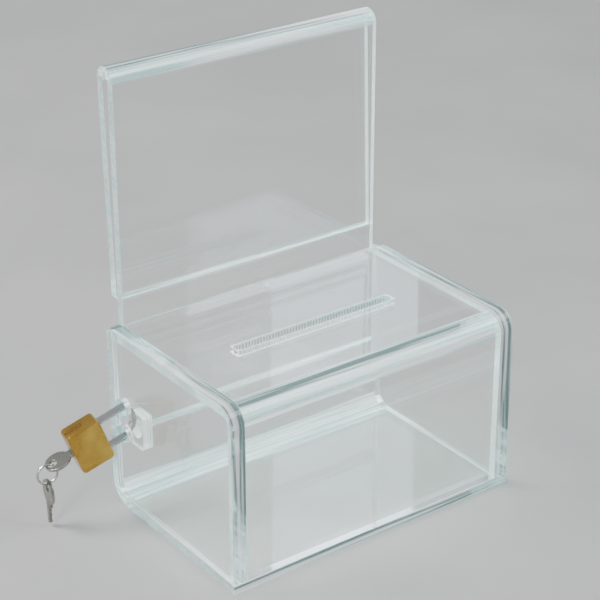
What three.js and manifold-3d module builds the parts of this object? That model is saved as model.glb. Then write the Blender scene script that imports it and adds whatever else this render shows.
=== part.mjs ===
// Clear acrylic donation box with a folded sign holder and a small brass padlock.
// Units are millimetres. +X is right, +Y is rearward, +Z is up.
// The origin is the centre of the underside of the base tray.
import * as THREE from 'three';
import { mergeVertices } from 'three/addons/utils/BufferGeometryUtils.js';
import Module from 'manifold-3d';

const wasm = await Module();
wasm.setup();

// Driving sizes of the box
const WIDTH = 178;
const DEPTH = 113;
const BOX_HEIGHT = 102;
const SIDE_T = 8;
const SHELL_T = 8;
const SHEET_T = 5;
const GAP = 0.3;
const FRONT_BEND_R = 10.5;
const FRONT_BEND_INNER_R = 2.5;
const TRAY_BEND_R = 13.5;
const FLANGE_HEIGHT = 39;
const SLOT_LENGTH = 100;
const SLOT_WIDTH = 6.5;
const SLOT_END_R = 3.24;
const SLOT_Y = -3;

// Sign holder
const SIGN_TOP = 239;
const SIGN_FOLD_R = 7.2;
const SIGN_REAR_BOTTOM_Z = 115;
const SIGN_PINCH = 0.9;
const SHOULDER_TOP = BOX_HEIGHT - 1;
const SHOULDER_R = 3;

// Hasp ear on the tray, in line with the lower of the two shackle holes
const EAR_T = 6;
const EAR_X = -75.5;
const EAR_FRONT_Y = 38.5;
const EAR_BOTTOM_Z = 33;
const EAR_TOP_Z = 53;
const EAR_CORNER_R = 2;

// Padlock frame: U points out along the shackle, V across its legs, N through its thickness
const LOCK_YAW = -8;
const LOCK_PITCH = 20;
const ARC_CENTRE = [-86.1, 45, 51.6];
const HOLE_R = 5;
const HOLE_OFFSET_Z = 7.7;
const HOLE_Y = 44.85;

// Padlock: body between KEY_END and SHACKLE_END along U
const KEY_END = -33;
const SHACKLE_END = -14;
const LOCK_HALF_WIDTH = 12.5;
const LOCK_T = 10.6;
const LOCK_CORNER_R = 2.2;
const LOCK_EDGE = 0.7;
const LEG_R = 2;
const LEG_V = 8.3;
const TOE_SEAT = 6;
const HEEL_SEAT = 12;
const HEEL_BORE_END = -31;

// Lock works
const PLUG_R = 3.3;
const PLUG_END = -19.5;
const CAM_R = 0.7;
const CAM_OFFSET = 1.5;
const CAM_END = -16.6;
const KEY_T = 1.5;
const BLADE_TOP = -1.2;
const BLADE_BOTTOM = 2.4;
const BLADE_LENGTH = 11;
const PIN_R = 0.8;
const PIN_U = [-29.6, -26.8, -24];
const PIN_TIP_V = -1.5;
const KEY_PIN_HEAD_V = -3.1;
const DRIVER_FOOT_V = -3.8;
const DRIVER_HEAD_V = -6.3;
const PIN_HOLE_END_V = -1;
const PIN_COVER_V = -10.3;
const COVER_SLOT_U = [-31.8, -22.35];
const LATCH_U = [-18.4, -16.2];
const LATCH_TIP_V = -6;
const LATCH_SHOULDER_V = -3;
const LATCH_TAIL_V = 3.2;
const LATCH_TRAVEL = 1.5;
const LATCH_HALF = 3.3;
const NOSE_HALF = 1.6;
const NOTCH_V = -7.8;

// Springs: coil radius, wire radius and number of turns
const SHACKLE_SPRING = [1.5, 0.3, 5];
const LATCH_SPRING = [0.8, 0.15, 3];
const PIN_SPRING = [0.6, 0.15, 5];
const LATCH_SPRING_LENGTH = 1.4;

// Keys and ring
const BOW_R = 7;
const BOW_HOLE_R = 2.7;
const BOW_HOLE_AT = 3.1;
const BOW_WEB_AT = 6.4;
const SHOULDER_LENGTH = 1.5;
const SHOULDER_HALF = 2.9;
const KEY_CUTS = [0.8, 0.1, 0.8, 0.1, 0.8, 0.1, 0.2];
const KEY_TIP_V = 1.2;
const RING_R = 5.5;
const WIRE_R = 0.65;
const RING_DROP = 3.7;
const SPARE_DROP = 5;

// Segments per curve, the weld distance, and how far a cutter reaches past a face
const SHEET_STEPS = 14;
const FOLD_STEPS = 16;
const SLOT_STEPS = 8;
const CORNER_STEPS = 6;
const EDGE_STEPS = 2;
const KEY_STEPS = 12;
const HOLE_SIDES = 36;
const PLUG_SIDES = 32;
const BORE_SIDES = 24;
const PIN_SIDES = 16;
const SHACKLE_STEPS = 60;
const SHACKLE_SIDES = 12;
const COIL_STEPS = 12;
const COIL_SIDES = 4;
const RING_STEPS = 40;
const RING_SIDES = 10;
const WELD = 1e-4;
const OVERCUT = 1;

// --- solids -------------------------------------------------------------

function solid(geometry) {
  const bare = geometry.index ? geometry.toNonIndexed() : geometry.clone();
  bare.deleteAttribute('normal');
  bare.deleteAttribute('uv');
  const merged = mergeVertices(bare, WELD);
  return new wasm.Manifold(new wasm.Mesh({
    numProp: 3,
    vertProperties: new Float32Array(merged.attributes.position.array),
    triVerts: new Uint32Array(merged.index.array),
  }));
}

function geometryOf(shape) {
  const mesh = shape.getMesh();
  const points = new Float32Array(mesh.vertProperties);
  const geometry = new THREE.BufferGeometry();
  geometry.setAttribute('position', new THREE.BufferAttribute(points, 3));
  geometry.setIndex(new THREE.BufferAttribute(new Uint32Array(mesh.triVerts), 1));
  return geometry;
}

function cutAll(whole, cutters) {
  return cutters.reduce((left, cutter) => left.subtract(solid(cutter)), whole);
}

function around(half) {
  return [-half, half];
}

function box([x0, x1], [y0, y1], [z0, z1]) {
  const geometry = new THREE.BoxGeometry(x1 - x0, y1 - y0, z1 - z0);
  geometry.translate((x0 + x1) / 2, (y0 + y1) / 2, (z0 + z1) / 2);
  return geometry;
}

function extrude(shape, depth, curveSegments, bevel = 0) {
  return new THREE.ExtrudeGeometry(shape, {
    depth: depth - 2 * bevel,
    curveSegments,
    bevelEnabled: bevel > 0,
    bevelThickness: bevel,
    bevelSize: bevel,
    bevelOffset: -bevel,
    bevelSegments: EDGE_STEPS,
  });
}

// Turns a profile drawn in (Y, Z) and extruded by width into a solid centred on X.
function acrossX(geometry, xStart) {
  geometry.applyMatrix4(new THREE.Matrix4().makeBasis(
    new THREE.Vector3(0, 1, 0), new THREE.Vector3(0, 0, 1), new THREE.Vector3(1, 0, 0)));
  geometry.translate(xStart, 0, 0);
  return geometry;
}

function cylinder(radius, from, to, segments) {
  const start = new THREE.Vector3(...from);
  const end = new THREE.Vector3(...to);
  const along = end.clone().sub(start);
  const geometry = new THREE.CylinderGeometry(radius, radius, along.length(), segments);
  const turn = new THREE.Quaternion().setFromUnitVectors(
    new THREE.Vector3(0, 1, 0), along.clone().normalize());
  geometry.applyQuaternion(turn);
  const middle = start.add(end).multiplyScalar(0.5);
  geometry.translate(middle.x, middle.y, middle.z);
  return geometry;
}

function roundedRect(x0, x1, y0, y1, r) {
  const shape = new THREE.Shape();
  shape.moveTo(x0 + r, y0);
  shape.lineTo(x1 - r, y0);
  shape.absarc(x1 - r, y0 + r, r, -Math.PI / 2, 0, false);
  shape.lineTo(x1, y1 - r);
  shape.absarc(x1 - r, y1 - r, r, 0, Math.PI / 2, false);
  shape.lineTo(x0 + r, y1);
  shape.absarc(x0 + r, y1 - r, r, Math.PI / 2, Math.PI, false);
  shape.lineTo(x0, y0 + r);
  shape.absarc(x0 + r, y0 + r, r, Math.PI, 1.5 * Math.PI, false);
  return shape;
}

// --- materials ----------------------------------------------------------

function material(color, roughness, metalness, opacity = 1) {
  return new THREE.MeshStandardMaterial({
    color, roughness, metalness, opacity, transparent: opacity < 1,
  });
}

const acrylic = () => material(0xd9ece8, 0.05, 0, 0.35);
const brass = () => material(0xb8912f, 0.3, 1);
const steel = () => material(0xc4c6c2, 0.25, 1);
const springSteel = () => material(0x8d9092, 0.35, 1);

const root = new THREE.Group();

function addMesh(parent, name, geometry, finish) {
  const mesh = new THREE.Mesh(geometry, finish);
  mesh.name = name;
  parent.add(mesh);
  return mesh;
}

// --- acrylic ------------------------------------------------------------

const rearFace = DEPTH / 2;
const frontFace = -rearFace;
const wallFront = rearFace - SHEET_T;
const innerHalf = WIDTH / 2 - SIDE_T;

function trayGeometry() {
  const shape = new THREE.Shape();
  const bendY = rearFace - TRAY_BEND_R;
  shape.moveTo(frontFace, 0);
  shape.lineTo(bendY, 0);
  shape.absarc(bendY, TRAY_BEND_R, TRAY_BEND_R, -Math.PI / 2, 0, false);
  shape.lineTo(rearFace, FLANGE_HEIGHT);
  shape.lineTo(wallFront, FLANGE_HEIGHT);
  shape.lineTo(wallFront, TRAY_BEND_R);
  shape.absarc(bendY, TRAY_BEND_R, TRAY_BEND_R - SHEET_T, 0, -Math.PI / 2, true);
  shape.lineTo(frontFace, SHEET_T);
  shape.closePath();
  return acrossX(extrude(shape, WIDTH, SHEET_STEPS), -WIDTH / 2);
}

function sideShape() {
  const shape = new THREE.Shape();
  const rear = wallFront - GAP;
  const bottom = SHEET_T + GAP;
  const innerR = TRAY_BEND_R - SHEET_T;
  const bendY = frontFace + FRONT_BEND_R;
  const bendZ = BOX_HEIGHT - FRONT_BEND_R;
  shape.moveTo(frontFace, bottom);
  shape.lineTo(rear - innerR, bottom);
  shape.absarc(rear - innerR, bottom + innerR, innerR, -Math.PI / 2, 0, false);
  shape.lineTo(rear, BOX_HEIGHT);
  shape.lineTo(bendY, BOX_HEIGHT);
  shape.absarc(bendY, bendZ, FRONT_BEND_R, Math.PI / 2, Math.PI, false);
  shape.closePath();
  return shape;
}

// The left panel has two holes, so the shackle hooks round the bar between them.
function leftPanelGeometry() {
  const panel = solid(acrossX(extrude(sideShape(), SIDE_T, SHEET_STEPS), -WIDTH / 2));
  const holes = around(HOLE_OFFSET_Z).map((offset) => {
    const z = ARC_CENTRE[2] + offset;
    const outside = [-WIDTH / 2 - OVERCUT, HOLE_Y, z];
    return cylinder(HOLE_R, outside, [OVERCUT - innerHalf, HOLE_Y, z], HOLE_SIDES);
  });
  return geometryOf(cutAll(panel, holes));
}

function rightPanelGeometry() {
  return acrossX(extrude(sideShape(), SIDE_T, SHEET_STEPS), innerHalf);
}

function coverGeometry() {
  const rear = wallFront - GAP;
  const bottom = SHEET_T + GAP;
  const bendY = frontFace + FRONT_BEND_R;
  const bendZ = BOX_HEIGHT - FRONT_BEND_R;
  const half = innerHalf - GAP;
  const shape = new THREE.Shape();
  shape.moveTo(frontFace, bottom);
  shape.lineTo(frontFace + SHELL_T, bottom);
  shape.lineTo(frontFace + SHELL_T, bendZ);
  shape.absarc(bendY, bendZ, FRONT_BEND_INNER_R, Math.PI, Math.PI / 2, true);
  shape.lineTo(rear, BOX_HEIGHT - SHELL_T);
  shape.lineTo(rear, BOX_HEIGHT);
  shape.lineTo(bendY, BOX_HEIGHT);
  shape.absarc(bendY, bendZ, FRONT_BEND_R, Math.PI / 2, Math.PI, false);
  shape.closePath();
  const sheet = solid(acrossX(extrude(shape, 2 * half, SHEET_STEPS), -half));
  return geometryOf(cutAll(sheet, [slotCutter()]));
}

function slotCutter() {
  const end = SLOT_LENGTH / 2;
  const side = SLOT_WIDTH / 2;
  const outline = roundedRect(-end, end, SLOT_Y - side, SLOT_Y + side, SLOT_END_R);
  const cutter = extrude(outline, 3 * SHELL_T, SLOT_STEPS);
  cutter.translate(0, 0, BOX_HEIGHT - 2 * SHELL_T);
  return cutter;
}

// The back wall rises into the sign holder: front leaf, top fold, rear leaf.
function backProfile() {
  const innerR = SIGN_FOLD_R - SHEET_T;
  const foldY = wallFront + SIGN_FOLD_R;
  const foldZ = SIGN_TOP - SIGN_FOLD_R;
  const tipY = rearFace + SIGN_PINCH;
  const shape = new THREE.Shape();
  shape.moveTo(wallFront, FLANGE_HEIGHT + GAP);
  shape.lineTo(rearFace, FLANGE_HEIGHT + GAP);
  shape.lineTo(rearFace, foldZ);
  shape.absarc(foldY, foldZ, innerR, Math.PI, 0, true);
  shape.lineTo(tipY, SIGN_REAR_BOTTOM_Z);
  shape.lineTo(tipY + SHEET_T, SIGN_REAR_BOTTOM_Z);
  shape.lineTo(foldY + SIGN_FOLD_R, foldZ);
  shape.absarc(foldY, foldZ, SIGN_FOLD_R, 0, Math.PI, false);
  shape.closePath();
  return shape;
}

// The full-width lower wall, with rounded shoulders each side of the sign.
function lowerWallGeometry() {
  const half = WIDTH / 2;
  const bottom = FLANGE_HEIGHT + GAP;
  const arcX = half - SHOULDER_R;
  const arcZ = SHOULDER_TOP - SHOULDER_R;
  const shape = new THREE.Shape();
  shape.moveTo(-half, bottom);
  shape.lineTo(half, bottom);
  shape.lineTo(half, arcZ);
  shape.absarc(arcX, arcZ, SHOULDER_R, 0, Math.PI / 2, false);
  shape.lineTo(-arcX, SHOULDER_TOP);
  shape.absarc(-arcX, arcZ, SHOULDER_R, Math.PI / 2, Math.PI, false);
  shape.closePath();
  const geometry = extrude(shape, SHEET_T, CORNER_STEPS);
  geometry.rotateX(Math.PI / 2);
  geometry.translate(0, rearFace, 0);
  return geometry;
}

function backGeometry() {
  const sheet = solid(acrossX(extrude(backProfile(), 2 * innerHalf, FOLD_STEPS), -innerHalf));
  return geometryOf(sheet.add(solid(lowerWallGeometry())));
}

function earGeometry() {
  const shape = roundedRect(EAR_FRONT_Y, wallFront - GAP, EAR_BOTTOM_Z, EAR_TOP_Z, EAR_CORNER_R);
  const plate = solid(acrossX(extrude(shape, EAR_T, CORNER_STEPS), EAR_X));
  const eyeZ = ARC_CENTRE[2] - HOLE_OFFSET_Z;
  const eyeFrom = [EAR_X - OVERCUT, HOLE_Y, eyeZ];
  const eye = cylinder(HOLE_R, eyeFrom, [EAR_X + EAR_T + OVERCUT, HOLE_Y, eyeZ], HOLE_SIDES);
  return geometryOf(cutAll(plate, [eye]));
}

function addAcrylic() {
  addMesh(root, 'base_tray', trayGeometry(), acrylic());
  addMesh(root, 'tray_ear', earGeometry(), acrylic());
  addMesh(root, 'side_panel_left', leftPanelGeometry(), acrylic());
  addMesh(root, 'side_panel_right', rightPanelGeometry(), acrylic());
  addMesh(root, 'front_top_panel', coverGeometry(), acrylic());
  addMesh(root, 'rear_sign_panel', backGeometry(), acrylic());
}

// --- padlock frame ------------------------------------------------------

function lockGroup() {
  const yaw = THREE.MathUtils.degToRad(LOCK_YAW);
  const pitch = THREE.MathUtils.degToRad(LOCK_PITCH);
  const axisU = new THREE.Vector3(
    Math.cos(pitch) * Math.cos(yaw), Math.cos(pitch) * Math.sin(yaw), Math.sin(pitch));
  const axisV = new THREE.Vector3(
    Math.sin(pitch) * Math.cos(yaw), Math.sin(pitch) * Math.sin(yaw), -Math.cos(pitch));
  const axisN = new THREE.Vector3().crossVectors(axisU, axisV);
  const frame = new THREE.Matrix4().makeBasis(axisU, axisV, axisN);
  frame.setPosition(...ARC_CENTRE);
  const group = new THREE.Group();
  group.applyMatrix4(frame);
  return group;
}

function tube(curve, radius, steps, sides) {
  const ring = new THREE.Shape();
  ring.absarc(0, 0, radius, 0, 2 * Math.PI, false);
  return new THREE.ExtrudeGeometry(ring, {
    steps, extrudePath: curve, curveSegments: sides, bevelEnabled: false,
  });
}

// --- shackle and springs --------------------------------------------------

// Centre line of the shackle, from the toe's end round the bow to the heel's end.
class ShackleLine extends THREE.Curve {
  getPoint(t, target = new THREE.Vector3()) {
    const toe = TOE_SEAT - SHACKLE_END;
    const heel = HEEL_SEAT - SHACKLE_END;
    const bow = Math.PI * LEG_V;
    const s = t * (toe + bow + heel);
    if (s < toe) return target.set(s - toe, -LEG_V, 0);
    if (s > toe + bow) return target.set(toe + bow - s, LEG_V, 0);
    const angle = (s - toe) / LEG_V;
    return target.set(LEG_V * Math.sin(angle), -LEG_V * Math.cos(angle), 0);
  }
}

// The stretch of U that the latch needs, with its clearance.
function latchSpan() {
  return [LATCH_U[0] - GAP, LATCH_U[1] + GAP];
}

function shackleGeometry() {
  const bar = solid(tube(new ShackleLine(), LEG_R, SHACKLE_STEPS, SHACKLE_SIDES));
  const notch = box(latchSpan(), [NOTCH_V, NOTCH_V + 2 * LEG_R], around(2 * LEG_R));
  return geometryOf(cutAll(bar, [notch]));
}

class Coil extends THREE.Curve {
  constructor(radius, length, turns) {
    super();
    this.radius = radius;
    this.length = length;
    this.turns = turns;
  }

  getPoint(t, target = new THREE.Vector3()) {
    const angle = 2 * Math.PI * this.turns * t;
    return target.set(
      this.radius * Math.cos(angle), this.length * t, this.radius * Math.sin(angle));
  }
}

// A coil that starts at the origin and runs along +Y.
function coilGeometry([radius, wire, turns], length) {
  const line = new Coil(radius, length - 2 * wire, turns);
  const geometry = tube(line, wire, COIL_STEPS * turns, COIL_SIDES);
  geometry.translate(0, wire, 0);
  return geometry;
}

// --- padlock body and works -----------------------------------------------

function lockBlank() {
  const outline = roundedRect(
    KEY_END, SHACKLE_END, -LOCK_HALF_WIDTH, LOCK_HALF_WIDTH, LOCK_CORNER_R);
  const block = extrude(outline, LOCK_T, CORNER_STEPS, LOCK_EDGE);
  block.translate(0, 0, LOCK_EDGE - LOCK_T / 2);
  return solid(block);
}

function legBore(v, endU) {
  return cylinder(LEG_R + GAP, [SHACKLE_END + OVERCUT, v, 0], [endU, v, 0], BORE_SIDES);
}

function latchCavity() {
  const front = LATCH_SHOULDER_V - LATCH_TRAVEL - GAP;
  const rear = LATCH_TAIL_V + LATCH_SPRING_LENGTH + 2 * GAP;
  return [
    box(latchSpan(), [front, rear], around(LATCH_HALF + GAP)),
    box(latchSpan(), [-LEG_V, front + OVERCUT], around(NOSE_HALF + GAP)),
  ];
}

function bodyGeometry() {
  const clear = PIN_R + GAP;
  const cutters = [
    cylinder(PLUG_R + GAP, [KEY_END - OVERCUT, 0, 0], [LATCH_U[0], 0, 0], PLUG_SIDES),
    legBore(-LEG_V, SHACKLE_END - TOE_SEAT - GAP),
    legBore(LEG_V, HEEL_BORE_END),
    ...latchCavity(),
    box(COVER_SLOT_U, [-LOCK_HALF_WIDTH - OVERCUT, PIN_COVER_V + GAP], around(clear)),
    ...PIN_U.map((u) => cylinder(clear, [u, -PLUG_R, 0], [u, PIN_COVER_V, 0], PIN_SIDES)),
  ];
  return geometryOf(cutAll(lockBlank(), cutters));
}

function pinCoverGeometry() {
  const spanU = [COVER_SLOT_U[0] + GAP, COVER_SLOT_U[1] - GAP];
  return box(spanU, [-LOCK_HALF_WIDTH, PIN_COVER_V], around(PIN_R));
}

function keyway() {
  return box(
    [KEY_END - OVERCUT, KEY_END + BLADE_LENGTH + GAP],
    [BLADE_TOP - GAP, BLADE_BOTTOM + GAP],
    around(KEY_T / 2 + GAP));
}

function plugGeometry() {
  const barrel = solid(cylinder(PLUG_R, [KEY_END, 0, 0], [PLUG_END, 0, 0], PLUG_SIDES));
  const camFoot = [PLUG_END - OVERCUT, -CAM_OFFSET, 0];
  const cam = cylinder(CAM_R, camFoot, [CAM_END, -CAM_OFFSET, 0], PIN_SIDES);
  const holes = PIN_U.map((u) => cylinder(
    PIN_R + GAP, [u, PIN_HOLE_END_V, 0], [u, -PLUG_R - OVERCUT, 0], PIN_SIDES));
  return geometryOf(cutAll(barrel, [keyway(), ...holes]).add(solid(cam)));
}

function latchGeometry() {
  const side = CAM_R + GAP;
  const plate = solid(box(LATCH_U, [LATCH_SHOULDER_V, LATCH_TAIL_V], around(LATCH_HALF)));
  const nose = box(LATCH_U, [LATCH_TIP_V, LATCH_SHOULDER_V + OVERCUT], around(NOSE_HALF));
  const window = box(
    [LATCH_U[0] - OVERCUT, LATCH_U[1] + OVERCUT], around(side + GAP), [-CAM_OFFSET - side, side]);
  return geometryOf(cutAll(plate.add(solid(nose)), [window]));
}

// --- keys and ring ----------------------------------------------------------

// Key outline: the blade runs along +X from the origin at the shoulder, the bow along -X.
function keyGeometry() {
  const pitch = BLADE_LENGTH / (KEY_CUTS.length + 1);
  const shape = new THREE.Shape();
  const bow = -SHOULDER_LENGTH - BOW_R;
  const neck = Math.asin(SHOULDER_HALF / BOW_R);
  shape.moveTo(-SHOULDER_LENGTH, SHOULDER_HALF);
  shape.absarc(bow, 0, BOW_R, neck, 2 * Math.PI - neck, false);
  shape.lineTo(0, -SHOULDER_HALF);
  shape.lineTo(0, BLADE_TOP);
  KEY_CUTS.forEach((depth, i) => shape.lineTo((i + 1) * pitch, BLADE_TOP + depth));
  shape.lineTo(BLADE_LENGTH, KEY_TIP_V);
  shape.lineTo(BLADE_LENGTH - pitch, BLADE_BOTTOM);
  shape.lineTo(0, BLADE_BOTTOM);
  shape.lineTo(0, SHOULDER_HALF);
  shape.closePath();
  const hole = new THREE.Path();
  hole.absarc(bow - BOW_HOLE_AT, 0, BOW_HOLE_R, 0, 2 * Math.PI, true);
  shape.holes.push(hole);
  const geometry = extrude(shape, KEY_T, KEY_STEPS);
  geometry.translate(0, 0, -KEY_T / 2);
  return geometry;
}

function ringGeometry() {
  return new THREE.TorusGeometry(RING_R, WIRE_R, RING_SIDES, RING_STEPS);
}

// --- assembly ---------------------------------------------------------------

function addSpring(parent, name, geometry, position) {
  const spring = addMesh(parent, name, geometry, springSteel());
  spring.position.set(...position);
  return spring;
}

function addShackleSpring(lock) {
  const length = SHACKLE_END - HEEL_SEAT - HEEL_BORE_END - 2 * GAP;
  const coil = coilGeometry(SHACKLE_SPRING, length);
  const spring = addSpring(lock, 'shackle_spring', coil, [HEEL_BORE_END + GAP, LEG_V, 0]);
  spring.rotation.z = -Math.PI / 2;
}

function addLatchSpring(lock) {
  const middle = (LATCH_U[0] + LATCH_U[1]) / 2;
  const coil = coilGeometry(LATCH_SPRING, LATCH_SPRING_LENGTH);
  addSpring(lock, 'latch_spring', coil, [middle, LATCH_TAIL_V + GAP, 0]);
}

function addDrivers(lock) {
  const length = DRIVER_HEAD_V - PIN_COVER_V - 2 * GAP;
  PIN_U.forEach((u, i) => {
    const pin = cylinder(PIN_R, [u, DRIVER_FOOT_V, 0], [u, DRIVER_HEAD_V, 0], PIN_SIDES);
    const coil = coilGeometry(PIN_SPRING, length);
    addMesh(lock, `driver_pin_${i + 1}`, pin, brass());
    addSpring(lock, `pin_spring_${i + 1}`, coil, [u, PIN_COVER_V + GAP, 0]);
  });
}

// The plug, its pins and the key stand turned a quarter turn, to the unlocked side.
function addTurningParts(lock) {
  const turned = new THREE.Group();
  turned.rotation.x = Math.PI / 2;
  lock.add(turned);
  addMesh(turned, 'cylinder_plug', plugGeometry(), brass());
  PIN_U.forEach((u, i) => {
    const pin = cylinder(PIN_R, [u, PIN_TIP_V, 0], [u, KEY_PIN_HEAD_V, 0], PIN_SIDES);
    addMesh(turned, `key_pin_${i + 1}`, pin, brass());
  });
  addMesh(turned, 'key_in_lock', keyGeometry(), steel()).position.set(KEY_END, 0, 0);
}

function addRing(lock) {
  const hang = new THREE.Group();
  hang.position.set(KEY_END - SHOULDER_LENGTH - BOW_R - BOW_WEB_AT, 0, 0);
  hang.rotation.z = THREE.MathUtils.degToRad(LOCK_PITCH);
  lock.add(hang);
  addMesh(hang, 'key_ring', ringGeometry(), springSteel()).position.set(0, RING_DROP, 0);
  const spare = addMesh(hang, 'spare_key', keyGeometry(), steel());
  spare.rotation.order = 'ZYX';
  spare.rotation.set(Math.PI / 2, 0, Math.PI / 2);
  spare.position.set(0, RING_DROP + RING_R + SPARE_DROP + BOW_R + SHOULDER_LENGTH, 0);
}

function addPadlock() {
  const lock = lockGroup();
  root.add(lock);
  addMesh(lock, 'padlock_body', bodyGeometry(), brass());
  addMesh(lock, 'shackle', shackleGeometry(), steel());
  addMesh(lock, 'pin_cover', pinCoverGeometry(), brass());
  addMesh(lock, 'latch', latchGeometry(), steel());
  addShackleSpring(lock);
  addLatchSpring(lock);
  addDrivers(lock);
  addTurningParts(lock);
  addRing(lock);
}

addAcrylic();
addPadlock();

export default root;
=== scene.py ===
import math

import bpy
from mathutils import Matrix, Vector


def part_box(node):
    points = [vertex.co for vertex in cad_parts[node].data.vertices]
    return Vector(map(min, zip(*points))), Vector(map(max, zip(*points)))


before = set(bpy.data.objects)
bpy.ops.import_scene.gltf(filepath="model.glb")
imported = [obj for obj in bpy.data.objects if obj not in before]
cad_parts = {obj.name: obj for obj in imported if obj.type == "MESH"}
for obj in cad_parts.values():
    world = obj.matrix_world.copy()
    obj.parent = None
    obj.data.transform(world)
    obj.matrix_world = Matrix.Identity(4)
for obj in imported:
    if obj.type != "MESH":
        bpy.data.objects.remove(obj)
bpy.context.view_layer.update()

# Sizes in metres, in the frame's axes.
MM = 0.001
SHEET = 5 * MM
COVER_SHEET = 8 * MM
SHEET_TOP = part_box("front_top_panel")[1].z
SLOT_Y = -3 * MM
SLOT_HALF = 3.8 * MM
SLOT_END = 50.5 * MM
BEND_R = 10.5 * MM
FOLD_DEPTH = 7.5 * MM
EDGE_DEPTH = 1.2 * MM
LEAF_BOTTOM = 115 * MM
RIM = 0.9 * MM

# Rounding and smoothing of the CAD nodes' edges.
ROUNDING = {"brass": 0.25 * MM, "key": 0.15 * MM}
ACRYLIC_ROUNDING = 0.35 * MM
ROUND_ANGLE = math.radians(40)
SMOOTH_ANGLE = math.radians(28)
WELD_DISTANCE = 1e-6

# How far the acrylic turns from clear to a pale diffuse colour, from 0, clear, to 1: on its edges this
# is painted glow over the acrylic's own edge tint, on its bends painted glow only, on dust specks and
# the slot rim milkiness.
EDGE_MILK_AND_GLOW = 0.62
BEND_GLOW = 0.75
DUST_MILK = 0.35
RIM_MILK = 0.85
ACRYLIC_IOR = 1.49

# Patterns of the acrylic: their scales, and the range of the noise that each one picks out.
SMEAR_SCALE = 38.0
# On the edges of the bent sheets the smear sets how strong their painted glow and milkiness are.
SMEAR_MILK_AND_GLOW = (0.75, 1.0)
SMEAR_ROUGH = (0.004, 0.03)
DUST_SCALE = 1900.0
DUST_RANGE = (0.70, 0.76)
DUST_ROUGH = 0.12
EDGE_ROUGH = 0.09
# Streaks make the painted glow on edges and bends uneven.
STREAK_SCALES = {"X": (520, 14, 14), "YZ": (9, 430, 430)}
STREAK_RANGE = (0.42, 0.60)
LEAST_STREAK = 0.30
GLOW_RANGE = (0.44, 0.60)
SCRATCHES = ((900.0, 0.6), (700.0, 2.1))
SCRATCH_RANGE = (0.66, 0.72)
SCRATCH_DEPTH = 0.004 * MM
SAW_SCALE = 170.0
SAW_RANGE = (0.45, 0.75)
SAW_DEPTH = 0.12 * MM
FACE_RANGE = (0.5, 0.8)
UPRIGHT_LIMIT = 0.6
ZONE_SOFTNESS = 0.6 * MM

# Patterns of the metals.
GRAIN_LENGTH_SCALE = 40
GRAIN_DEPTH = 0.02 * MM
BLOTCH_SCALE = 90.0
BLOTCH_ROUGH = 0.10
RUB_SCALE = 1500.0
RUB_RANGE = (0.64, 0.72)
RUB_STRENGTH = 0.25

# Colours, as pairs where a pattern runs from the first to the second.
CLEAR = ((0.985, 0.998, 0.995, 1), (0.975, 0.995, 0.99, 1))
# Edges and bends: the pale green is the acrylic's own edge tint, the run to near white is painted glow
# of light piped along the sheet.
EDGE_GLOW = ((0.60, 0.93, 0.91, 1), (0.98, 1.0, 0.995, 1))
SHADOW_TINT = (0.86, 0.90, 0.89, 1)
BRASS = ((0.56, 0.34, 0.07, 1), (0.38, 0.21, 0.04, 1))
PLUG_BRASS = ((0.55, 0.40, 0.17, 1), (0.38, 0.27, 0.11, 1))
PLATING = ((0.50, 0.50, 0.50, 1), (0.38, 0.38, 0.385, 1))
NICKEL = ((0.36, 0.35, 0.31, 1), (0.22, 0.21, 0.19, 1))
WIRE = ((0.50, 0.50, 0.49, 1), (0.30, 0.30, 0.29, 1))
RUBBED_BRASS = (0.93, 0.76, 0.38, 1)
RUBBED_STEEL = (0.9, 0.88, 0.85, 1)
FLOOR = ((0.335, 0.33, 0.325, 1), (0.375, 0.368, 0.36, 1))
SKY = (0.80, 0.84, 0.88, 1)
SKY_STRENGTH = 0.75
WINDOW_LIGHT = (0.76, 0.89, 1.0)

# The padlock's turn in the frame: the shackle's pitch above level, and its yaw about Z.
LOCK_PITCH = math.radians(20)
LOCK_YAW = math.radians(-8)
LOCK_TURN = (0, LOCK_PITCH, -LOCK_YAW)

# Camera of the main view, and the floor's half width.
CAMERA_PLACE = Vector((-0.5059, -0.6787, 0.5260))
CAMERA_AZIMUTH = math.radians(-36.315)
CAMERA_ELEVATION = math.radians(25.992)
CAMERA_ROLL = math.radians(-0.12)
CAMERA_LENS = 110.35
SENSOR_WIDTH = 36
FLOOR_REACH = 4.0


# --- node helpers -----------------------------------------------------------

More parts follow.
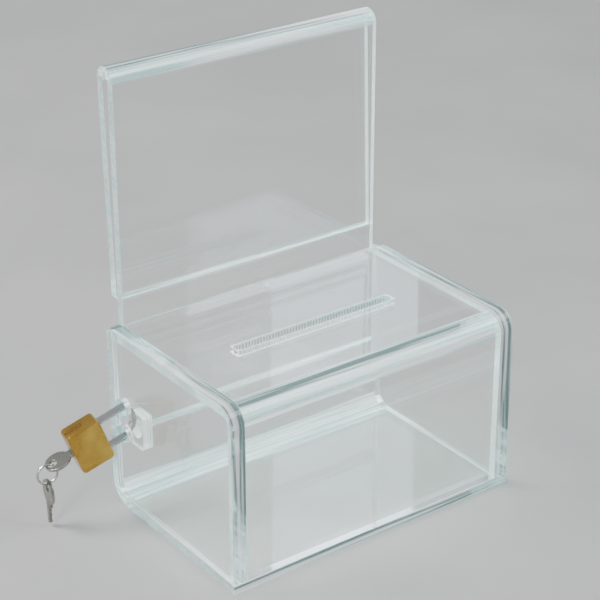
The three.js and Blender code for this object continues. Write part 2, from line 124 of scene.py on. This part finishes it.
class Nodes:
    """Short ways to add and join the nodes of one material."""

    def __init__(self, name):
        self.material = bpy.data.materials.new(name)
        self.material.use_nodes = True
        self.tree = self.material.node_tree
        self.tree.nodes.clear()
        self.output = self.tree.nodes.new("ShaderNodeOutputMaterial")

    def add(self, kind, **settings):
        node = self.tree.nodes.new(kind)
        for key, value in settings.items():
            setattr(node, key, value)
        return node

    def put(self, value, socket):
        if isinstance(value, bpy.types.NodeSocket):
            self.tree.links.new(value, socket)
        else:
            socket.default_value = value

    def math(self, operation, a, b=0.0):
        node = self.add("ShaderNodeMath", operation=operation)
        self.put(a, node.inputs[0])
        self.put(b, node.inputs[1])
        return node.outputs[0]

    def times(self, first, *others):
        for other in others:
            first = self.math("MULTIPLY", first, other)
        return first

    def inverse(self, value):
        return self.math("SUBTRACT", 1.0, value)

    def parts(self, output):
        """The X, Y and Z of one output of the texture coordinates."""
        place = self.add("ShaderNodeTexCoord")
        split = self.add("ShaderNodeSeparateXYZ")
        self.put(place.outputs[output], split.inputs[0])
        return split.outputs

    def position(self, scale=(1, 1, 1), rotation=(0, 0, 0)):
        place = self.add("ShaderNodeTexCoord")
        mapping = self.add("ShaderNodeMapping")
        mapping.inputs["Scale"].default_value = scale
        mapping.inputs["Rotation"].default_value = rotation
        self.put(place.outputs["Object"], mapping.inputs["Vector"])
        return mapping.outputs[0]

    def noise(self, vector, scale, detail=4.0, roughness=0.55):
        node = self.add("ShaderNodeTexNoise")
        self.put(vector, node.inputs["Vector"])
        node.inputs["Scale"].default_value = scale
        node.inputs["Detail"].default_value = detail
        node.inputs["Roughness"].default_value = roughness
        return node.outputs["Fac"]

    def spread(self, value, low, high, start=0.35, end=0.65):
        """Maps start to low and end to high, and holds the result between them."""
        node = self.add("ShaderNodeMapRange")
        self.put(value, node.inputs["Value"])
        node.inputs["From Min"].default_value = start
        node.inputs["From Max"].default_value = end
        node.inputs["To Min"].default_value = low
        node.inputs["To Max"].default_value = high
        return node.outputs[0]

    def blend(self, factor, a, b):
        """A mix of two colours, which this node holds in its sockets 6 and 7."""
        node = self.add("ShaderNodeMix", data_type="RGBA")
        self.put(factor, node.inputs[0])
        self.put(a, node.inputs[6])
        self.put(b, node.inputs[7])
        return node.outputs[2]

    def bump(self, height, distance, strength=1.0, under=None):
        node = self.add("ShaderNodeBump")
        node.inputs["Distance"].default_value = distance
        self.put(strength, node.inputs["Strength"])
        self.put(height, node.inputs["Height"])
        if under is not None:
            self.put(under, node.inputs["Normal"])
        return node.outputs[0]

    def finish(self, shader):
        self.put(shader, self.output.inputs["Surface"])
        return self.material


# --- materials ----------------------------------------------------------------

def hairlines(n, scale, turn):
    """Fine straight scratches: a noise drawn out along one direction."""
    stretched = n.position((scale, scale * 0.02, scale * 0.4), (0, 0, turn))
    return n.spread(n.noise(stretched, 1.0, 2.0), 0.0, 1.0, *SCRATCH_RANGE)


def edge_mask(n, face_axis):
    """1 on the sawn and polished edges of a sheet, 0 on its faces."""
    across = n.math("ABSOLUTE", n.parts("Normal")[0])
    face = n.spread(across, 0.0, 1.0, *FACE_RANGE)
    return n.inverse(face) if face_axis == "X" else face


def slot_masks(n):
    """1 on the walls of the money slot, and 1 on the rims at the walls' top and bottom."""
    x, y, z = n.parts("Object")
    away = n.math("ABSOLUTE", n.math("SUBTRACT", y, SLOT_Y))
    near = n.math("LESS_THAN", away, SLOT_HALF)
    upright = n.math("LESS_THAN", n.math("ABSOLUTE", n.parts("Normal")[2]), UPRIGHT_LIMIT)
    high = n.math("GREATER_THAN", z, SHEET_TOP - COVER_SHEET - MM)
    at_top = n.math("GREATER_THAN", z, SHEET_TOP - RIM)
    at_bottom = n.math("LESS_THAN", z, SHEET_TOP - COVER_SHEET + RIM)
    within = n.math("LESS_THAN", n.math("ABSOLUTE", x), SLOT_END)
    wall = n.times(near, upright, high, within)
    rim = n.times(near, high, n.math("MAXIMUM", at_top, at_bottom), within)
    return wall, rim


def window(n, value, low, high):
    """1 where value lies between low and high, 0 elsewhere, with soft ends."""
    above = n.spread(value, 0.0, 1.0, low - ZONE_SOFTNESS, low + ZONE_SOFTNESS)
    below = n.spread(value, 1.0, 0.0, high - ZONE_SOFTNESS, high + ZONE_SOFTNESS)
    return n.math("MULTIPLY", above, below)


def zone_mask(n, zones):
    """1 inside any of the (Y range, Z range) zones, where a bend or a raw edge gets painted glow."""
    y, z = n.parts("Object")[1:]
    total = 0.0
    for y_range, z_range in zones:
        zone = n.times(window(n, y, *y_range), window(n, z, *z_range))
        total = n.math("MAXIMUM", zone, total)
    return total


def lit_zones():
    """Where glow is painted on the bent sheets, in place of the light they pipe, for each node that has
    such places.
    """
    cover_low, cover_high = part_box("front_top_panel")
    tray_low, tray_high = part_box("base_tray")
    sign_low, sign_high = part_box("rear_sign_panel")
    shoulder = cover_high.z - MM
    reach = 20 * MM
    sliver = 0.2 * MM
    wall = (sign_low.y - MM, sign_low.y + SHEET + MM)
    rear_leaf = (sign_low.y + SHEET + sliver, sign_high.y + reach)
    return {
        "cover": [
            ((cover_low.y - reach, cover_low.y + BEND_R), (cover_high.z - BEND_R, cover_high.z + reach)),
        ],
        "tray": [
            ((tray_high.y - BEND_R - SHEET, tray_high.y + reach), (-reach, BEND_R)),
            ((tray_low.y - reach, tray_low.y + EDGE_DEPTH), (-reach, SHEET + MM)),
            ((tray_high.y - SHEET - MM, tray_high.y + reach),
             (tray_high.z - EDGE_DEPTH, tray_high.z + reach)),
        ],
        "sign": [
            ((sign_low.y - reach, sign_high.y + reach), (sign_high.z - FOLD_DEPTH, sign_high.z + reach)),
            (wall, (sign_low.z - reach, sign_low.z + EDGE_DEPTH)),
            (wall, (shoulder - EDGE_DEPTH, shoulder + sliver)),
            (rear_leaf, (LEAF_BOTTOM - MM, LEAF_BOTTOM + EDGE_DEPTH)),
        ],
    }


def saw_marks(n):
    """Upright ticks left on the walls of the slot by its cutter."""
    saw = n.add("ShaderNodeTexWave", bands_direction="X")
    n.put(n.position(), saw.inputs["Vector"])
    saw.inputs["Scale"].default_value = SAW_SCALE
    saw.inputs["Distortion"].default_value = 2.0
    return n.spread(saw.outputs["Fac"], 0.0, 1.0, *SAW_RANGE)


def acrylic(name, face_axis, zones=(), slot=False, seed=0.0):
    """Clear cast acrylic: clean faces with faint hairlines and dust, pale green edges and bends with
    painted glow.
    """
    n = Nodes(name)
    shader = n.add("ShaderNodeBsdfPrincipled")
    wall, rim = slot_masks(n) if slot else (0.0, 0.0)
    mask = n.math("MAXIMUM", edge_mask(n, face_axis), wall)
    # Bends and raw edges where bright glow is painted.
    bend = zone_mask(n, zones)
    smear = n.noise(n.position(), SMEAR_SCALE + seed, 5.0)
    dust = n.spread(n.noise(n.position(), DUST_SCALE, 2.0), 0.0, 1.0, *DUST_RANGE)
    lines = n.noise(n.position(STREAK_SCALES[face_axis]), 1.0, 2.0)

    # Painted glow: edges and bends run from pale green to near white, for light piped along the sheet.
    glow = n.blend(n.spread(lines, 0.0, 1.0, *GLOW_RANGE), *EDGE_GLOW)
    clear = n.blend(n.spread(smear, 0.0, 1.0), *CLEAR)
    n.put(n.blend(n.math("MAXIMUM", mask, bend), clear, glow), shader.inputs["Base Color"])

    face_rough = n.math("ADD", n.spread(smear, *SMEAR_ROUGH), n.times(dust, DUST_ROUGH))
    n.put(n.math("ADD", face_rough, n.times(mask, EDGE_ROUGH)), shader.inputs["Roughness"])

    # Edges and bends give up transmission to that colour, which is painted glow; dust specks are real
    # dust.
    streak = n.spread(lines, LEAST_STREAK, 1.0, *STREAK_RANGE)
    along = streak if face_axis == "X" else n.spread(smear, *SMEAR_MILK_AND_GLOW)
    edge_milk_and_glow = n.times(mask, EDGE_MILK_AND_GLOW, along)
    bend_glow = n.times(bend, BEND_GLOW, streak)
    milk_and_glow = n.math("MAXIMUM", n.math("MAXIMUM", edge_milk_and_glow, bend_glow), n.times(dust, DUST_MILK))

    scratches = n.math("MAXIMUM", *(hairlines(n, scale, turn + seed) for scale, turn in SCRATCHES))
    relief = n.bump(n.times(scratches, -1.0), SCRATCH_DEPTH, 0.5)
    if slot:
        # The slot's walls get the painted edge glow, frosted along the saw ticks.
        ticks = saw_marks(n)
        scraped = n.times(wall, ticks, EDGE_MILK_AND_GLOW)
        milk_and_glow = n.math("ADD", n.times(milk_and_glow, n.inverse(wall)), scraped)
        milk_and_glow = n.math("MAXIMUM", milk_and_glow, n.times(rim, RIM_MILK))
        relief = n.bump(ticks, SAW_DEPTH, wall, relief)
    n.put(n.inverse(milk_and_glow), shader.inputs["Transmission Weight"])
    n.put(relief, shader.inputs["Normal"])
    shader.inputs["IOR"].default_value = ACRYLIC_IOR
    return n.finish(let_lamps_through(n, shader))


def let_lamps_through(n, shader):
    """Clear plastic throws only a faint shadow."""
    ray = n.add("ShaderNodeLightPath")
    through = n.add("ShaderNodeBsdfTransparent")
    through.inputs["Color"].default_value = SHADOW_TINT
    mix = n.add("ShaderNodeMixShader")
    n.put(ray.outputs["Is Shadow Ray"], mix.inputs[0])
    n.put(shader.outputs[0], mix.inputs[1])
    n.put(through.outputs[0], mix.inputs[2])
    return mix.outputs[0]


def metal(name, colours, rough, grain_scale, grain_turn=(0, 0, 0), rubbed=RUBBED_STEEL):
    """Bare or plated metal with brushed grain, blotchy tarnish and small bright rubs."""
    n = Nodes(name)
    shader = n.add("ShaderNodeBsdfPrincipled")
    shader.inputs["Metallic"].default_value = 1.0
    stretched = n.position((GRAIN_LENGTH_SCALE, grain_scale, grain_scale), grain_turn)
    grain = n.noise(stretched, 1.0, 3.0)
    blotch = n.noise(n.position(), BLOTCH_SCALE, 3.0, 0.5)
    rubs = n.spread(n.noise(n.position(), RUB_SCALE, 3.0), 0.0, RUB_STRENGTH, *RUB_RANGE)
    colour = n.blend(n.spread(blotch, 0.0, 1.0), *colours)
    n.put(n.blend(rubs, colour, rubbed), shader.inputs["Base Color"])
    grain_rough = n.spread(grain, rough * 0.7, rough * 1.3)
    n.put(n.math("ADD", grain_rough, n.spread(blotch, 0.0, BLOTCH_ROUGH)), shader.inputs["Roughness"])
    n.put(n.bump(grain, GRAIN_DEPTH, 0.6), shader.inputs["Normal"])
    return n.finish(shader.outputs[0])


def make_materials():
    zones = lit_zones()
    return {
        "side": acrylic("acrylic_side", "X", seed=0.3),
        "tray": acrylic("acrylic_tray", "YZ", zones["tray"], seed=0.9),
        "sign": acrylic("acrylic_sign", "YZ", zones["sign"], seed=1.2),
        "cover": acrylic("acrylic_cover", "YZ", zones["cover"], slot=True, seed=1.7),
        "brass": metal("brushed_brass", BRASS, 0.17, 5200, LOCK_TURN, RUBBED_BRASS),
        "plug": metal("plug_brass", PLUG_BRASS, 0.28, 2600),
        "shackle": metal("plated_shackle", PLATING, 0.14, 1500, LOCK_TURN),
        "key": metal("nickel_key", NICKEL, 0.20, 3200),
        "wire": metal("drawn_wire", WIRE, 0.20, 2400),
    }


ACRYLIC = {
    "side_panel_left": "side", "side_panel_right": "side", "tray_ear": "side",
    "base_tray": "tray", "rear_sign_panel": "sign", "front_top_panel": "cover",
}
METAL = {
    "padlock_body": "brass", "pin_cover": "brass", "shackle": "shackle",
    "latch": "wire", "key_ring": "wire", "key_in_lock": "key", "spare_key": "key",
}


def finish_for(node):
    """The material of a node. The plug and the pins share one brass, the springs one wire."""
    plain = "wire" if "spring" in node else "plug"
    return ACRYLIC.get(node) or METAL.get(node, plain)


def rounding_for(node):
    """How far a node's edges are rounded. The pin cover lies flush in the case, so it stays sharp."""
    if node in ACRYLIC:
        return ACRYLIC_ROUNDING
    return 0 if node == "pin_cover" else ROUNDING.get(finish_for(node), 0)


# --- shading of the CAD nodes ---------------------------------------------------

def smoother():
    """A node group that shades curved faces smooth and keeps real edges sharp."""
    group = bpy.data.node_groups.new("smooth_by_angle", "GeometryNodeTree")
    group.interface.new_socket("Geometry", in_out="INPUT", socket_type="NodeSocketGeometry")
    group.interface.new_socket("Geometry", in_out="OUTPUT", socket_type="NodeSocketGeometry")
    start = group.nodes.new("NodeGroupInput")
    end = group.nodes.new("NodeGroupOutput")
    faces = group.nodes.new("GeometryNodeSetShadeSmooth")
    edges = group.nodes.new("GeometryNodeSetShadeSmooth")
    edges.domain = "EDGE"
    angle = group.nodes.new("GeometryNodeInputMeshEdgeAngle")
    sharp = group.nodes.new("FunctionNodeCompare")
    sharp.operation = "GREATER_THAN"
    sharp.inputs[1].default_value = SMOOTH_ANGLE
    group.links.new(angle.outputs[0], sharp.inputs[0])
    group.links.new(start.outputs[0], faces.inputs["Geometry"])
    group.links.new(faces.outputs[0], edges.inputs["Geometry"])
    group.links.new(sharp.outputs[0], edges.inputs["Selection"])
    edges.inputs["Shade Smooth"].default_value = False
    group.links.new(edges.outputs[0], end.inputs[0])
    return group


def round_edges(obj, width, group):
    """Rounds and smooths an object by modifiers. Its own mesh stays as it is."""
    weld = obj.modifiers.new("weld", "WELD")
    weld.merge_threshold = WELD_DISTANCE
    if width:
        bevel = obj.modifiers.new("round", "BEVEL")
        bevel.width = width
        bevel.segments = 2
        bevel.limit_method = "ANGLE"
        bevel.angle_limit = ROUND_ANGLE
    smooth = obj.modifiers.new("smooth", "NODES")
    smooth.node_group = group
    level = obj.modifiers.new("level", "WEIGHTED_NORMAL")
    level.weight = 100
    level.keep_sharp = True


def dress(materials):
    """Gives every CAD node its material and its rounded edges."""
    group = smoother()
    nodes = [obj for obj in bpy.context.scene.objects if obj.type == "MESH"]
    for obj in nodes:
        obj.data.materials.clear()
        obj.data.materials.append(materials[finish_for(obj.name)])
        round_edges(obj, rounding_for(obj.name), group)


# --- stage ------------------------------------------------------------------------

def floor_material():
    n = Nodes("pale_floor")
    shader = n.add("ShaderNodeBsdfPrincipled")
    mottle = n.noise(n.position(), 6.0, 6.0)
    n.put(n.blend(n.spread(mottle, 0.0, 1.0), *FLOOR), shader.inputs["Base Color"])
    shader.inputs["Roughness"].default_value = 0.65
    return n.finish(shader.outputs[0])


def add_floor():
    """A wide pale sheet, a hair below the tray so that the two never share a plane."""
    mesh = bpy.data.meshes.new("floor")
    turns = ((-1, -1), (1, -1), (1, 1), (-1, 1))
    corners = [(x * FLOOR_REACH, y * FLOOR_REACH, -0.2 * MM) for x, y in turns]
    mesh.from_pydata(corners, [], [(0, 1, 2, 3)])
    floor = bpy.data.objects.new("floor", mesh)
    bpy.context.scene.collection.objects.link(floor)
    mesh.materials.append(floor_material())


def add_lamp(name, place, size, power, colour=(1, 1, 1)):
    """A soft rectangular lamp that faces the middle of the box."""
    target = Vector((0, 0, 0.1))
    data = bpy.data.lights.new(name, "AREA")
    data.shape = "RECTANGLE"
    data.size, data.size_y = size
    data.energy = power
    data.color = colour
    lamp = bpy.data.objects.new(name, data)
    lamp.location = place
    lamp.rotation_mode = "QUATERNION"
    lamp.rotation_quaternion = (target - Vector(place)).to_track_quat("-Z", "Y")
    bpy.context.scene.collection.objects.link(lamp)


def add_world():
    world = bpy.data.worlds.new("soft_studio")
    world.use_nodes = True
    background = world.node_tree.nodes["Background"]
    background.inputs["Color"].default_value = SKY
    background.inputs["Strength"].default_value = SKY_STRENGTH
    bpy.context.scene.world = world


def add_camera():
    data = bpy.data.cameras.new("camera")
    data.lens = CAMERA_LENS
    data.sensor_width = SENSOR_WIDTH
    camera = bpy.data.objects.new("camera", data)
    flat = math.cos(CAMERA_ELEVATION)
    back = Vector((
        math.sin(CAMERA_AZIMUTH) * flat, -math.cos(CAMERA_AZIMUTH) * flat, math.sin(CAMERA_ELEVATION)))
    turn = (-back).to_track_quat("-Z", "Y").to_matrix() @ Matrix.Rotation(CAMERA_ROLL, 3, "Z")
    camera.rotation_mode = "QUATERNION"
    camera.rotation_quaternion = turn.to_quaternion()
    camera.location = CAMERA_PLACE
    bpy.context.scene.collection.objects.link(camera)
    bpy.context.scene.camera = camera


dress(make_materials())
add_floor()
add_world()
add_lamp("key", (-1.1, 0.9, 1.5), (0.7, 0.7), 46)
add_lamp("fill", (1.15, -0.82, 1.5), (1.2, 0.8), 22)
add_lamp("window", (-1.3, -0.7, 0.7), (0.35, 1.1), 16)
# Two dim lamps that show as pale panes in the top, the base and the sign.
add_lamp("pane", (0.79, 0.99, 0.72), (0.19, 0.6), 0.8, WINDOW_LIGHT)
add_lamp("side_pane", (0.93, -1.19, 0.74), (0.30, 0.45), 2.2, WINDOW_LIGHT)
add_camera()
